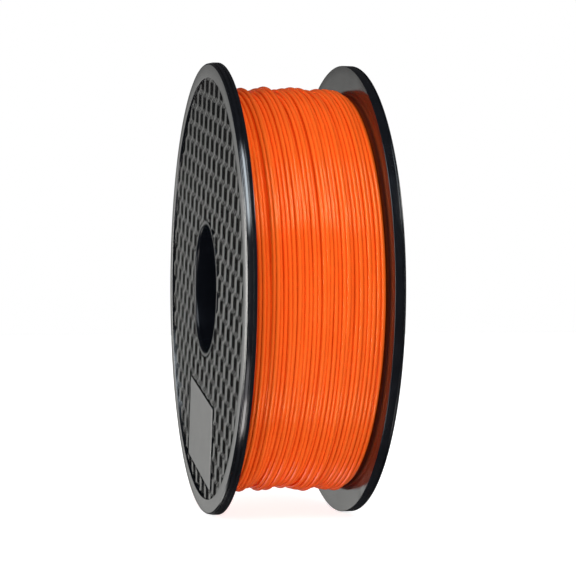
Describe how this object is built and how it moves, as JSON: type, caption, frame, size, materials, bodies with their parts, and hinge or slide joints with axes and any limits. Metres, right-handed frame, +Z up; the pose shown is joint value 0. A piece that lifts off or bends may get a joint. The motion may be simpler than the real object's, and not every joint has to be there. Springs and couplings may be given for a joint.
{
  "type": "filament spool",
  "caption": "Plastic spool full of wound printer filament: two round flanges with woven outer faces, a ribbed hub with a through bore, and the winding between them.",
  "frame": {"origin": "middle of the bore, on the spool's axis, halfway between the two flanges", "axes": "+X along the spool's axis, from the flange with the blank pad towards the other one; +Z up as the spool stands on its rims; the blank pad is at the lower side, turned 11.5 degrees about the axis"},
  "size_m": [0.065, 0.2, 0.2],
  "materials": {
    "flange": "black moulded plastic, satin woven faces and pad, glossy rim",
    "hub": "glossy black moulded plastic",
    "filament": "bright orange filament with a soft gloss"
  },
  "bodies": {
    "root": {"left_flange": "flange", "right_flange": "flange", "hub": "hub", "filament_winding": "filament"}
  },
  "joints": []
}
